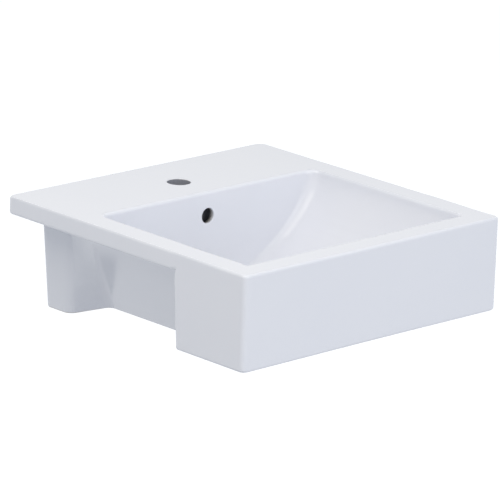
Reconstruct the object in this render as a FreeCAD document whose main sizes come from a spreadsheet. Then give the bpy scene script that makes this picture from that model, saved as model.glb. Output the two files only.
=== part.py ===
import FreeCAD, Part
import math
import os
import re
import Sketcher

# Semi recessed basin: one glazed vitreous china casting with a slotted press-to-open waste.
# Frame: the origin lies on the wall, on the centre line, at worktop level. +X is to the right as
# one stands at the basin, +Y goes into the wall, +Z is up. Millimetres.

Vector = FreeCAD.Vector
document = FreeCAD.newDocument("semi_recessed_basin")

# ---------------------------------------------------------------- driving dimensions
SIZES = {
    # casting, outside
    "basin_width": 500,          # left side to right side
    "basin_depth": 505,          # wall to front face
    "flange_thickness": 27,      # worktop to rim top
    "front_height": 140,         # rim top to the underside of the front block
    "overall_height": 182,       # rim top to the foot of the rear wall
    "front_depth": 146,          # front face to the back of the front block, at the worktop
    "front_draft": 8,            # how far the back of the front block leans forward, going down
    "rear_corner": 12,           # plan radius of the deck's rear corners
    "front_corner": 8,           # plan radius of the front block's corners
    "edge_round": 4.5,           # rounding of the rim's outer edge and of the block's edges
    "foot_round": 3,             # rounding of the foot of the rear wall
    # casting, below the worktop
    "belly_inset": 36,           # side of the rim to the body, beside the bowl, at the worktop
    "leg_inset": 64.5,           # side of the rim to the body, at the wall, at the worktop
    "foot_inset": 79,            # side of the rim to the foot of the rear wall
    "stem_half": 99,             # half width between the side walls, at the foot
    "leg_depth": 52,             # wall to the front of the rear wall's wings, at the foot
    "stem_front_slope": 27,      # how far the foot stays behind the front block
    "wall": 10,                  # casting wall
    "skirt_wall": 12,            # wall of the sloping sides, measured level
    "deck_thickness": 20,        # deck round the tap hole
    # bowl
    "side_rim": 39,              # side of the basin to the bowl
    "front_rim": 38,             # front of the basin to the bowl
    "deck_depth": 158,           # wall to the bowl
    "bowl_depth": 150,           # rim top to the bowl floor
    "bowl_fullness": 1.72,       # 1 is a straight funnel, 2 an ellipse
    "bowl_corner": 6,            # plan radius of the bowl's front corners at the rim
    "bowl_corner_growth": 69,    # how much that radius grows towards the floor
    "bowl_rear_corner": 18,      # plan radius of the bowl's rear corners at the rim
    "bowl_rear_growth": 16,      # how much that radius grows towards the floor
    "bowl_heel": 24,             # how far the rear wall curves forward to the floor
    "bowl_floor_margin": 4,      # flat floor round the recess for the waste
    "rim_round": 5,              # rounding of the bowl's edge
    # holes in the casting
    "tap_hole_radius": 17.5,
    "tap_from_wall": 93,
    "overflow_radius": 11.4,
    "overflow_drop": 36.6,       # rim top to the middle of the overflow hole
    "channel_half": 20,          # overflow channel, half width
    "channel_depth": 14,         # overflow channel, front to back
    "channel_wall": 8,
    "bolt_hole_radius": 7,       # wall bolts through the rear wall
    "bolt_spacing": 280,
    "bolt_drop": 82,             # rim top to the wall bolts
    # outlet of the casting
    "waste_setback": 62,         # rear wall of the bowl to the outlet
    "waste_hole_radius": 23,
    "seat_radius": 34,           # recess for the flange of the waste
    "seat_drop": 3,
    "boss_radius": 42,
    "outlet_height": 28,         # bowl floor to the underside of the outlet
    "chamber_radius": 31,        # overflow chamber round the waste
    "chamber_height": 9,
    "chamber_lip": 8,            # ceramic below the chamber
    "passage_half": 14,          # passage from the channel to the chamber, half width
    # waste
    "flange_radius": 31.5,
    "flange_height": 3.5,
    "gasket_height": 1.5,
    "thread_radius": 20.95,      # G 1 1/4 outside thread
    "tube_bore": 18,
    "tube_length": 75,           # underside of the flange to the end of the tail
    "relief_drop": 1.5,          # underside of the nut to the relief in the thread
    "relief_width": 1.5,
    "relief_depth": 0.9,
    "slot_half": 6,              # overflow slots, half width
    "bridge_drop": 39,           # underside of the flange to the cross bridge
    "bridge_height": 6,
    "bridge_half": 3,            # half width of the bridge's arms
    "bridge_boss": 8,
    "seal_height": 8,
    "seal_radius": 31,
    "slip_height": 1.2,
    "slip_radius": 29,
    "nut_height": 9,
    "nut_flats": 52,
    "fit": 0.1,                  # between threaded or nested turned pieces
    "clearance": 0.3,            # between pieces that move or that are soft
    # cartridge
    "barrel_radius": 7,
    "barrel_height": 32.5,
    "barrel_bore": 5.4,
    "barrel_floor": 2,
    "stud_radius": 4.1,
    "stud_length": 16.5,
    "lock_flats": 13,
    "lock_height": 6.5,
    "cap_ring_radius": 8.2,
    "cap_ring_height": 2,
    "cap_spigot": 3,             # how far the end cap goes into the barrel
    "stem_radius": 3,
    "stem_fit": 0.06,
    "crown_height": 4,           # toothed foot of the plunger
    "crown_radius": 5.1,
    "pilot_radius": 2,           # pin below the crown, on which the rotor turns
    "pilot_end": 1,              # how far the pin shows below the rotor
    "rotor_height": 4,
    "tooth_height": 1.2,
    "tooth_gap": 1.9,            # width of the notches between teeth
    "spring_wire": 0.9,
    "spring_turns": 5,
    "spring_radius": 4.2,        # to the middle of the wire
    "plug_travel": 8.7,
    # plug
    "plug_radius": 31,
    "plug_height": 7,
    "plug_lip": 1.5,             # how far the rim of the plug hangs below its seal's seat
    "plug_skin": 2.5,
    "seal_ring_outer": 25,
    "seal_ring_inner": 20,
    "seal_ring_height": 2.5,
    "socket_radius": 5,          # boss under the plug that screws on the plunger
}
CROWN_TEETH = 8
SPRING_CLOSING = 0.8   # 0 for even turns, towards 1 the more its end turns close up
BOWL_ANGLES = (0, 12, 25, 38, 50, 61, 70)   # levels of the bowl, in degrees of its curve

sheet = document.addObject("Spreadsheet::Sheet", "sizes")
for row, (name, value) in enumerate(SIZES.items(), start=1):
    sheet.set(f"A{row}", name)
    sheet.set(f"B{row}", str(value))
    sheet.setAlias(f"B{row}", name)
document.recompute()


# ---------------------------------------------------------------- helpers
def cells(text):
    """An expression, with each size's name pointed at its cell."""
    return re.sub(r"[a-z]\w*", lambda word: "sizes." + word[0] if word[0] in SIZES else word[0], text)


def number(text):
    """What an expression comes to now."""
    result = sheet.evalExpression(cells(text))
    return float(getattr(result, "Value", result))


def bind(item, **properties):
    """Ties properties to expressions; two underscores stand for a dot."""
    for name, text in properties.items():
        item.setExpression(name.replace("__", "."), cells(text))


def part_body(label):
    body = document.addObject("PartDesign::Body", label)
    body.Label = label
    return body


def origin_feature(body, role):
    return next(item for item in body.Origin.OriginFeatures if item.Role == role)


def corner_arc(before, corner, after, radius):
    """Centre of a corner's arc and the two points where it leaves the sides."""
    inward = (before - corner).normalize()
    outward = (after - corner).normalize()
    half_angle = inward.getAngle(outward) / 2
    reach = radius / math.tan(half_angle)
    centre = corner + (inward + outward).normalize() * (radius / math.sin(half_angle))
    return centre, corner + inward * reach, corner + outward * reach


def add_outline(sketch, corners):
    """A closed outline in a sketch. Each corner is (x, y) or (x, y, radius), as expressions, and
    is held by its distances from the origin; a rounded corner's arc is tangent to both sides."""
    count = len(corners)
    points = [Vector(number(corner[0]), number(corner[1]), 0) for corner in corners]
    radii = [number(corner[2]) if len(corner) == 3 else 0 for corner in corners]
    arcs = []
    for index, point in enumerate(points):
        before, after = points[index - 1], points[(index + 1) % count]
        arcs.append(corner_arc(before, point, after, radii[index]) if radii[index] else (None, point, point))
    left_turn = [(points[i] - points[i - 1]).cross(points[(i + 1) % count] - points[i]).z > 0
                 for i in range(count)]
    line_of, arc_of, point_of = [], [], []
    for index in range(count):
        line_of.append(sketch.addGeometry(Part.LineSegment(arcs[index][2], arcs[(index + 1) % count][1]), False))
    for index, (centre, start, end) in enumerate(arcs):
        if centre is None:
            arc_of.append(None)
            point_of.append(None)
            continue
        angles = [math.atan2(tip.y - centre.y, tip.x - centre.x) for tip in (start, end)]
        if not left_turn[index]:
            angles.reverse()
        circle = Part.Circle(centre, Vector(0, 0, 1), radii[index])
        arc_of.append(sketch.addGeometry(Part.ArcOfCircle(circle, *angles), False))
        point_of.append(sketch.addGeometry(Part.Point(points[index]), True))
    for index, corner in enumerate(corners):
        here, before = line_of[index], line_of[index - 1]
        if arc_of[index] is None:
            sketch.addConstraint(Sketcher.Constraint("Coincident", before, 2, here, 1))
            held = (here, 1)
        else:
            start, end = (1, 2) if left_turn[index] else (2, 1)
            sketch.addConstraint(Sketcher.Constraint("Tangent", before, 2, arc_of[index], start))
            sketch.addConstraint(Sketcher.Constraint("Tangent", arc_of[index], end, here, 1))
            sketch.addConstraint(Sketcher.Constraint("PointOnObject", point_of[index], 1, before))
            sketch.addConstraint(Sketcher.Constraint("PointOnObject", point_of[index], 1, here))
            radius = sketch.addConstraint(Sketcher.Constraint("Radius", arc_of[index], radii[index]))
            bind(sketch, **{f"Constraints[{radius}]": corner[2]})
            held = (point_of[index], 1)
        for kind, text, value in zip(("DistanceX", "DistanceY"), corner, points[index]):
            distance = sketch.addConstraint(Sketcher.Constraint(kind, -1, 1, *held, value))
            bind(sketch, **{f"Constraints[{distance}]": text})


def outline(body, name, corners, offset="0", role="XY_Plane"):
    """A sketch on one of the body's own planes, moved along that plane's normal."""
    sketch = body.newObject("Sketcher::SketchObject", name)
    sketch.AttachmentSupport = [(origin_feature(body, role), "")]
    sketch.MapMode = "FlatFace"
    bind(sketch, AttachmentOffset__Base__z=offset)
    add_outline(sketch, corners)
    return sketch


def mirrored(corners):
    """The right half of an outline, front to back, made whole with its mirror image."""
    left = [("-(" + corner[0] + ")",) + corner[1:] for corner in corners]
    return corners + left[::-1]


def loft(body, name, sketches, ruled, kind="Additive"):
    feature = body.newObject(f"PartDesign::{kind}Loft", name)
    feature.Profile = sketches[0]
    feature.Sections = sketches[1:]
    feature.Ruled = ruled
    return feature


def turned(label, profile, axis_y="0", lift="0"):
    """A turned piece: a closed profile of (radius, height) corners, revolved about an upright axis."""
    body = part_body(label)
    sketch = outline(body, label + "_profile", profile, role="XZ_Plane")
    revolution = body.newObject("PartDesign::Revolution", label + "_turned")
    revolution.Profile = sketch
    revolution.ReferenceAxis = (sketch, ["V_Axis"])
    revolution.Angle = 360
    bind(body, Placement__Base__y=axis_y, Placement__Base__z=lift)
    return body


def ring(label, inner, outer, height, axis_y, lift):
    return turned(label, [(inner, "0"), (outer, "0"), (outer, height), (inner, height)], axis_y, lift)


def block(label, x_half, y_low, y_high, z_low, z_high):
    """A box, centred across the basin."""
    box = document.addObject("Part::Box", label)
    bind(box, Length=f"2 * ({x_half})", Width=f"({y_high}) - ({y_low})", Height=f"({z_high}) - ({z_low})",
         Placement__Base__x=f"-({x_half})", Placement__Base__y=y_low, Placement__Base__z=z_low)
    return box


def upright(label, radius, y, z_low, z_high):
    cylinder = document.addObject("Part::Cylinder", label)
    bind(cylinder, Radius=radius, Height=f"({z_high}) - ({z_low})",
         Placement__Base__y=y, Placement__Base__z=z_low)
    return cylinder


def level_drill(label, radius, x, z, y_low, y_high):
    """A cylinder that lies along +Y."""
    cylinder = document.addObject("Part::Cylinder", label)
    cylinder.Placement = FreeCAD.Placement(Vector(), FreeCAD.Rotation(Vector(1, 0, 0), -90))
    bind(cylinder, Radius=radius, Height=f"({y_high}) - ({y_low})",
         Placement__Base__x=x, Placement__Base__y=y_low, Placement__Base__z=z)
    return cylinder


def joined(label, shapes):
    fuse = document.addObject("Part::MultiFuse", label)
    fuse.Shapes = shapes
    return fuse


def cut(label, base, tool):
    result = document.addObject("Part::Cut", label)
    result.Base = base
    result.Tool = tool
    return result


def edges_where(shape, test):
    """Names of the edges whose every sampled point passes a test."""
    names = []
    for index, edge in enumerate(shape.Edges, start=1):
        samples = edge.discretize(Number=5)
        if all(test(point) for point in samples):
            names.append(f"Edge{index}")
    return names


def nut(label, flats, bore, height, lift):
    """A hexagon nut, its corners turned down at both ends."""
    hexagon = document.addObject("Part::Prism", label + "_hexagon")
    hexagon.Polygon = 6
    bind(hexagon, Circumradius=f"{flats} / sqrt(3)", Height=height)
    corner = f"{flats} / sqrt(3)"
    chamfer = f"({corner} - {flats} / 2)"
    blank = turned(label + "_turned", [
        (bore, "0"), (f"{flats} / 2", "0"), (corner, f"{chamfer} / 2"), (corner, f"{height} - {chamfer} / 2"),
        (f"{flats} / 2", height), (bore, height),
    ])
    result = document.addObject("Part::MultiCommon", label)
    result.Shapes = [hexagon, blank]
    bind(result, Placement__Base__y=WASTE_Y, Placement__Base__z=lift)
    return result


def near(value, target):
    return abs(value - target) < 0.01


def rounded(body, name, base, radius, test):
    """Rounds the edges of a feature that lie wholly where the test says."""
    document.recompute()
    fillet = body.newObject("PartDesign::Fillet", name)
    fillet.Base = (base, edges_where(base.Shape, test))
    bind(fillet, Radius=radius)
    return fillet


# ---------------------------------------------------------------- heights and places
RIM = "flange_thickness"
BLOCK_FLOOR = "(flange_thickness - front_height)"
FOOT = "(flange_thickness - overall_height)"
FRONT = "(-basin_depth)"
BLOCK_BACK = "(front_depth - basin_depth)"
BOWL_BACK = "(-deck_depth)"
BOWL_FLOOR = "(flange_thickness - bowl_depth)"
WASTE_Y = "(-deck_depth - waste_setback)"
SEAT = "(flange_thickness - bowl_depth - seat_drop)"
OUTLET = "(flange_thickness - bowl_depth - outlet_height)"
CHAMBER_LOW = f"({OUTLET} + chamber_lip)"
CHAMBER_HIGH = f"({CHAMBER_LOW} + chamber_height)"

# ---------------------------------------------------------------- casting: outside
outer = part_body("outer_form")
deck_outline = outline(outer, "deck_outline", mirrored([
    ("basin_width / 2", FRONT, "front_corner"),
    ("basin_width / 2", "0", "rear_corner"),
]))
deck = outer.newObject("PartDesign::Pad", "deck")
deck.Profile = deck_outline
bind(deck, Length=RIM)
deck_underside = rounded(outer, "deck_underside", deck, "edge_round", lambda point: near(point.z, 0))

# front block: its back leans forward, going down
front_block = loft(outer, "front_block", [
    outline(outer, name, mirrored([
        ("basin_width / 2", FRONT, "front_corner"),
        ("basin_width / 2", back, "edge_round"),
    ]), height)
    for name, back, height in (
        ("block_top", BLOCK_BACK, "0"),
        ("block_bottom", f"{BLOCK_BACK} - front_draft", BLOCK_FLOOR),
    )
], ruled=True)


def body_outline(target, name, share, height, front, inset):
    """Plan of the body below the worktop: straight beside the bowl at the top (share 0), and at
    the foot (share 1) a T, whose bar is the rear wall and whose stem carries the bowl."""
    def between(top, bottom):
        return f"(({top}) * (1 - {share}) + ({bottom}) * {share}) - ({inset})"

    belly_x = between("basin_width / 2 - belly_inset", "stem_half")
    leg_x = between("basin_width / 2 - leg_inset", "basin_width / 2 - foot_inset")
    belly_y = between(f"{BOWL_BACK} + wall", "-leg_depth - wall") + f" + 2 * ({inset})"
    leg_y = between("-leg_depth - wall", "-leg_depth") + f" + 2 * ({inset})"
    corners = [
        (belly_x, front, "3"),
        (belly_x, belly_y, f"12 + 28 * (1 - {share})"),
        (leg_x, leg_y, f"16 + 24 * (1 - {share})"),
        (leg_x, f"-({inset})", "8"),
    ]
    return outline(target, name, mirrored(corners), height)


BLOCK_SHARE = "((front_height - flange_thickness) / (overall_height - flange_thickness))"
STEM_FRONT = f"({BLOCK_BACK} - front_draft - wall)"
body_below = loft(outer, "body_below", [
    body_outline(outer, "body_top", "0", "0", STEM_FRONT, "0"),
    body_outline(outer, "body_middle", BLOCK_SHARE, BLOCK_FLOOR, STEM_FRONT, "0"),
    body_outline(outer, "body_foot", "1", FOOT, f"{BLOCK_BACK} - front_draft + stem_front_slope", "0"),
], ruled=True)


def shoulder(name, profile):
    """Carries a section up into the deck, past the deck's rounded underside."""
    pad = outer.newObject("PartDesign::Pad", name)
    pad.Profile = profile
    bind(pad, Length="flange_thickness / 2")
    return pad


block_shoulder = shoulder("block_shoulder", front_block.Profile[0])
body_shoulder = shoulder("body_shoulder", body_below.Profile[0])

# the glaze rounds the rim, the underside of the front block and the foot
rim_level = number(RIM)
block_level = number(BLOCK_FLOOR)
foot_level = number(FOOT)
block_sides = number("stem_half") + 60
rim_edge = rounded(outer, "rim_edge", body_shoulder, "edge_round", lambda point: near(point.z, rim_level))
block_edge = rounded(
    outer, "block_edge", rim_edge, "edge_round",
    lambda point: near(point.z, block_level) and (abs(point.x) > block_sides or point.y < number(FRONT) + 20))
foot_edge = rounded(outer, "foot_edge", block_edge, "foot_round",
                    lambda point: near(point.z, foot_level) and point.y < -0.5)

# ---------------------------------------------------------------- casting: bowl


def bowl_sections(target, grown):
    """Rounded rectangles from the rim down to the floor, each as wide as the bowl is at its level,
    and larger all round by the amount given. The rear wall stays upright, then curves forward."""
    floor = "(seat_radius + bowl_floor_margin)"
    sketches = []
    for index, angle in enumerate(BOWL_ANGLES + (90,)):
        across = f"pow(cos({angle} deg); 2 / bowl_fullness)"
        along = f"pow(sin({angle} deg); 2 / bowl_fullness)"
        half = f"((basin_width / 2 - side_rim) * {across})"
        front = f"({WASTE_Y} - ({WASTE_Y} - {FRONT} - front_rim) * {across})"
        if angle == 90:
            half = floor
            front = f"({WASTE_Y} - {floor})"
        heel = f"pow(1 - cos({angle} deg); 2)"
        back = f"({BOWL_BACK} - bowl_heel * {heel})"
        front_round = f"min(bowl_corner + bowl_corner_growth * sin({angle} deg); 0.9 * {half})"
        back_round = f"(bowl_rear_corner + bowl_rear_growth * {heel})"
        sketches.append(outline(target, f"{target.Label}_{index}", mirrored([
            (f"{half} + {grown}", f"{front} - {grown}", f"{front_round} + {grown}"),
            (f"{half} + {grown}", f"{back} + {grown}", f"{back_round} + {grown}"),
        ]), f"{RIM} - bowl_depth * {along} - {grown} * sin({angle} deg)"))
    return sketches


bowl = loft(outer, "bowl", bowl_sections(outer, "0"), ruled=False, kind="Subtractive")
bowl_x = number("basin_width / 2 - side_rim") + 0.01
bowl_front = number(f"{FRONT} + front_rim") - 0.01
bowl_edge = rounded(outer, "bowl_edge", bowl, "rim_round", lambda point: near(point.z, rim_level)
                    and abs(point.x) < bowl_x and bowl_front < point.y < number(BOWL_BACK) + 0.01)

# ---------------------------------------------------------------- casting: inside
bowl_shell = part_body("bowl_shell")
loft(bowl_shell, "bowl_grown", bowl_sections(bowl_shell, "wall"), ruled=False)

HOLLOW_TOP = "(flange_thickness - deck_thickness)"
NECK_BACK = f"({STEM_FRONT} + 2 * wall)"
hollow = part_body("hollow")
loft(hollow, "hollow_body", [
    body_outline(hollow, "hollow_top", "0", HOLLOW_TOP, f"{STEM_FRONT} + skirt_wall", "skirt_wall"),
    body_outline(hollow, "hollow_middle", BLOCK_SHARE, BLOCK_FLOOR, f"{STEM_FRONT} + skirt_wall", "skirt_wall"),
    body_outline(hollow, "hollow_foot", "1", f"{FOOT} - 1",
                 f"{BLOCK_BACK} - front_draft + stem_front_slope + skirt_wall", "skirt_wall"),
], ruled=True)
block_hollow = part_body("block_hollow")
loft(block_hollow, "block_hollow_body", [
    outline(block_hollow, name, mirrored([
        ("basin_width / 2 - wall", f"{FRONT} + wall", "3"),
        ("basin_width / 2 - wall", f"{back} - wall", "3"),
    ]), height)
    for name, back, height in (
        ("block_hollow_top", BLOCK_BACK, HOLLOW_TOP),
        ("block_hollow_floor", f"{BLOCK_BACK} - front_draft", f"{BLOCK_FLOOR} + wall"),
    )
], ruled=True)
neck = block("neck", "stem_half", f"{STEM_FRONT} - wall", NECK_BACK, f"{BLOCK_FLOOR} + wall", HOLLOW_TOP)

# overflow channel behind the bowl, its passage and the chamber round the waste, each in its casing
CHANNEL_FRONT = f"({BOWL_BACK} + wall)"
CHANNEL_BACK = f"({CHANNEL_FRONT} + channel_depth)"
OVERFLOW_Z = "(flange_thickness - overflow_drop)"
CHANNEL_TOP = f"({HOLLOW_TOP} - 2)"
channel_casing = block("channel_casing", "channel_half + channel_wall", BOWL_BACK,
                       f"{CHANNEL_BACK} + channel_wall", OUTLET, f"{HOLLOW_TOP} + 2")
passage_casing = block("passage_casing", "channel_half + channel_wall", WASTE_Y,
                       f"{CHANNEL_BACK} + channel_wall", OUTLET, SEAT)
boss = upright("boss", "boss_radius", WASTE_Y, OUTLET, SEAT)
channel = block("channel", "channel_half", CHANNEL_FRONT, CHANNEL_BACK, CHAMBER_LOW, CHANNEL_TOP)
passage = block("passage", "passage_half", WASTE_Y, CHANNEL_BACK, CHAMBER_LOW, CHAMBER_HIGH)
chamber = upright("chamber", "chamber_radius", WASTE_Y, CHAMBER_LOW, CHAMBER_HIGH)
casings = [channel_casing, passage_casing, boss]
hollows = joined("hollows", [hollow, block_hollow, neck])
space = cut("space", hollows, joined("solid_inside", [bowl_shell] + casings))

# holes
holes = [
    upright("tap_hole", "tap_hole_radius", "-tap_from_wall", "0", f"{RIM} + 1"),
    level_drill("overflow_hole", "overflow_radius", "0", OVERFLOW_Z, f"{BOWL_BACK} - 6", f"{CHANNEL_FRONT} + 1"),
    upright("waste_hole", "waste_hole_radius", WASTE_Y, f"{OUTLET} - 1", BOWL_FLOOR),
    upright("waste_seat", "seat_radius", WASTE_Y, SEAT, f"{BOWL_FLOOR} + 4"),
]
for side in ("-1", "1"):
    holes.append(level_drill("bolt_hole_" + ("left" if side == "-1" else "right"), "bolt_hole_radius",
                             f"{side} * bolt_spacing / 2", "flange_thickness - bolt_drop", "-3 * skirt_wall", "1"))
removed = joined("removed", [space, channel, passage, chamber] + holes)
basin = cut("ceramic_basin", joined("casting", [outer] + casings), removed)

# ---------------------------------------------------------------- waste
FLANGE_FOOT = f"({SEAT} + gasket_height)"
BRIDGE_TOP = f"({FLANGE_FOOT} - bridge_drop)"
BRIDGE_FOOT = f"({BRIDGE_TOP} - bridge_height)"
NUT_FOOT = f"({OUTLET} - seal_height - slip_height - nut_height)"
RELIEF = f"({NUT_FOOT} - {FLANGE_FOOT} - relief_drop)"
waste_tube = turned("waste_tube", [
    ("tube_bore", "-tube_length"), ("thread_radius - 0.8", "-tube_length"), ("thread_radius", "1 - tube_length"),
    ("thread_radius", f"{RELIEF} - relief_width"), ("thread_radius - relief_depth", f"{RELIEF} - relief_width"),
    ("thread_radius - relief_depth", RELIEF), ("thread_radius", RELIEF),
    ("thread_radius", "0"), ("flange_radius", "0"), ("flange_radius", "flange_height", "1.5"),
    ("tube_bore + 2", "flange_height"), ("tube_bore", "flange_height - 2", "2"),
], WASTE_Y, FLANGE_FOOT)
bridge_parts = [waste_tube, upright("bridge_boss", "bridge_boss", WASTE_Y, BRIDGE_FOOT, BRIDGE_TOP)]
slots = []
for turn in (0, 90):
    reach = "tube_bore + 1"
    bar = document.addObject("Part::Box", f"bridge_bar_{turn}")
    slot = document.addObject("Part::Box", f"slot_{turn}")
    for box, half, length, low, high in ((bar, "bridge_half", reach, BRIDGE_FOOT, BRIDGE_TOP),
                                         (slot, "slot_half", "thread_radius + 2", CHAMBER_LOW, CHAMBER_HIGH)):
        sides = (length, half) if turn == 0 else (half, length)
        bind(box, Length=f"2 * ({sides[0]})", Width=f"2 * ({sides[1]})", Height=f"{high} - {low}",
             Placement__Base__x=f"-({sides[0]})", Placement__Base__y=f"{WASTE_Y} - ({sides[1]})",
             Placement__Base__z=low)
    bridge_parts.append(bar)
    slots.append(slot)
stud_hole = upright("stud_hole", "stud_radius + fit", WASTE_Y, f"{BRIDGE_FOOT} - 1", f"{BRIDGE_TOP} + 1")
waste = cut("waste_body", joined("waste_with_bridge", bridge_parts), joined("waste_cuts", slots + [stud_hole]))

gasket = ring("flange_gasket", "waste_hole_radius + 0.5", "flange_radius - 0.5", "gasket_height", WASTE_Y, SEAT)
seal_bore = "thread_radius + clearance"
seal = turned("tapered_seal", [
    (seal_bore, "-seal_height"), ("seal_radius", "-seal_height"), ("seal_radius", "0"),
    ("waste_hole_radius - clearance", "0"), ("waste_hole_radius - 2 * clearance", "2.5"), (seal_bore, "2.5"),
], WASTE_Y, OUTLET)
slip = ring("slip_washer", seal_bore, "slip_radius", "slip_height", WASTE_Y, f"{OUTLET} - seal_height - slip_height")
back_nut = nut("back_nut", "nut_flats", "thread_radius + fit", "nut_height", NUT_FOOT)

# ---------------------------------------------------------------- cartridge
BARREL_TOP = f"({BRIDGE_TOP} + barrel_height)"
CROWN_TOP = f"({BARREL_TOP} - cap_spigot - clearance)"
CROWN_FOOT = f"({CROWN_TOP} - crown_height)"
ROTOR_TOP = f"({CROWN_FOOT} - clearance)"
ROTOR_FOOT = f"({ROTOR_TOP} - rotor_height)"
SPRING_FOOT = f"({BRIDGE_TOP} + barrel_floor)"
barrel = turned("cartridge_barrel", [
    ("0", "-stud_length"), ("stud_radius - 0.5", "-stud_length"), ("stud_radius", "0.5 - stud_length"),
    ("stud_radius", "0"), ("barrel_radius", "0"), ("barrel_radius", "barrel_height"),
    ("barrel_bore", "barrel_height"), ("barrel_bore", "barrel_floor"), ("0", "barrel_floor"),
], WASTE_Y, BRIDGE_TOP)
barrel_cap = turned("barrel_cap", [
    ("stem_radius + stem_fit", "-cap_spigot"), ("barrel_bore - fit", "-cap_spigot"), ("barrel_bore - fit", "0"),
    ("cap_ring_radius", "0"), ("cap_ring_radius", "cap_ring_height", "0.6"),
    ("stem_radius + stem_fit", "cap_ring_height"),
], WASTE_Y, BARREL_TOP)
lock_nut = nut("lock_nut", "lock_flats", "stud_radius + fit", "lock_height", f"{BRIDGE_FOOT} - lock_height")


def toothed(label, blank, low, high):
    """Cuts notches across the face of a turned piece, which leaves a crown of teeth."""
    notches = []
    for index in range(CROWN_TEETH // 2):
        notch = document.addObject("Part::Box", f"{label}_notch_{index}")
        bind(notch, Length="2 * barrel_bore", Width="tooth_gap", Height=f"({high}) - ({low})")
        turn = FreeCAD.Rotation(Vector(0, 0, 1), 360 * index / CROWN_TEETH)
        corner = turn.multVec(Vector(-number("barrel_bore"), -number("tooth_gap") / 2, 0))
        notch.Placement = FreeCAD.Placement(corner, turn)
        bind(notch, Placement__Base__z=low, Placement__Base__y=f"{WASTE_Y} + ({corner.y:.4f})")
        notches.append(notch)
    core = upright(label + "_core", "pilot_radius + 1.1", WASTE_Y, low, high)
    return cut(label, blank, cut(label + "_notches", joined(label + "_bars", notches), core))


rotor = toothed("click_rotor", ring("rotor_blank", "pilot_radius + stem_fit", "crown_radius", "rotor_height",
                                    WASTE_Y, ROTOR_FOOT), f"{ROTOR_TOP} - tooth_height", ROTOR_TOP)
PLUG_FOOT = f"({FLANGE_FOOT} + flange_height + clearance + plug_travel + seal_ring_height)"
stem = turned("stem", [
    ("0", f"-clearance - rotor_height - pilot_end"), ("pilot_radius", f"-clearance - rotor_height - pilot_end"),
    ("pilot_radius", "0"), ("crown_radius", "0"), ("crown_radius", "crown_height"), ("stem_radius", "crown_height"),
    ("stem_radius", f"{PLUG_FOOT} - {CROWN_FOOT} + 3"), ("0", f"{PLUG_FOOT} - {CROWN_FOOT} + 3"),
], WASTE_Y, CROWN_FOOT)
plunger = toothed("plunger", stem, CROWN_FOOT, f"{CROWN_FOOT} + tooth_height")

# ---------------------------------------------------------------- plug
plug_cap = turned("plug_cap", [
    ("0", "3"), ("stem_radius + fit", "3"), ("stem_radius + fit", "-3"), ("socket_radius", "-3"),
    ("socket_radius", "plug_height - plug_skin"), ("seal_ring_inner - 1", "plug_height - plug_skin"),
    ("seal_ring_inner - 1", "0"), ("plug_radius - 2.5", "0"), ("plug_radius - 2.5", "-plug_lip"),
    ("plug_radius", "-plug_lip"), ("plug_radius", "2.5", "1.5"), ("plug_radius - 5", "plug_height - 1.6", "12"),
    ("plug_radius / 2", "plug_height", "60"), ("0", "plug_height"),
], WASTE_Y, PLUG_FOOT)
plug_seal = ring("plug_seal", "seal_ring_inner", "seal_ring_outer", "seal_ring_height", WASTE_Y,
                 f"{PLUG_FOOT} - seal_ring_height")


# ---------------------------------------------------------------- spring
def biarc(start, start_way, end, end_way):
    """Two arcs that meet halfway and keep the directions given at both ends."""
    span = end - start
    ways = start_way + end_way
    curve = 2 * (1 - start_way.dot(end_way))
    reach = (-span.dot(ways) + math.sqrt(span.dot(ways) ** 2 + curve * span.dot(span))) / curve
    meeting = (start + start_way * reach + end - end_way * reach) / 2
    arcs = []
    for first, corner, last in ((start, start + start_way * reach, meeting),
                                (meeting, end - end_way * reach, end)):
        middle = (first + last) / 2
        half_chord = (last - first).Length / 2
        height = corner - middle
        sagitta = half_chord * math.tan(math.atan2(height.Length, half_chord) / 2)
        arcs.append(Part.Arc(first, middle + height.normalize() * sagitta, last).toShape())
    return arcs


wire_radius = number("spring_wire / 2")
coil_radius = number("spring_radius")
spring_rise = number(f"{ROTOR_FOOT} - {SPRING_FOOT} - spring_wire")
quarters = int(number("4 * spring_turns"))


def spring_point(share):
    """A point of the wire's middle line and its direction. The end turns close up."""
    angle = 2 * math.pi * share * quarters / 4
    height = spring_rise * (share - SPRING_CLOSING * math.sin(2 * math.pi * share) / (2 * math.pi))
    climb = spring_rise * (1 - SPRING_CLOSING * math.cos(2 * math.pi * share)) / (math.pi * quarters / 2)
    point = Vector(coil_radius * math.cos(angle), coil_radius * math.sin(angle), height)
    return point, Vector(-coil_radius * math.sin(angle), coil_radius * math.cos(angle), climb).normalize()


arcs = []
for quarter in range(quarters):
    arcs += biarc(*spring_point(quarter / quarters), *spring_point((quarter + 1) / quarters))
first_point, first_way = spring_point(0)
section = Part.Wire([Part.Circle(first_point, first_way, wire_radius).toShape()])
spring = document.addObject("Part::Feature", "click_spring")
spring.Shape = Part.Wire(arcs).makePipeShell([section], True, False)
bind(spring, Placement__Base__y=WASTE_Y, Placement__Base__z=f"{SPRING_FOOT} + spring_wire / 2")

centre_line = [spring_point(step / 600)[0] for step in range(601)]
turn_steps = 600 * 4 // quarters
gap = min((centre_line[i] - centre_line[j]).Length for i in range(601) for j in range(i + turn_steps // 2, 601))
print(f"spring: least gap to itself {gap - 2 * wire_radius:.2f} mm")

# ---------------------------------------------------------------- check and write
document.recompute()
for item in document.Objects:
    if "Invalid" in item.State or "Error" in item.State:
        raise RuntimeError(f"{item.Label} did not recompute: {item.State}")

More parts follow.
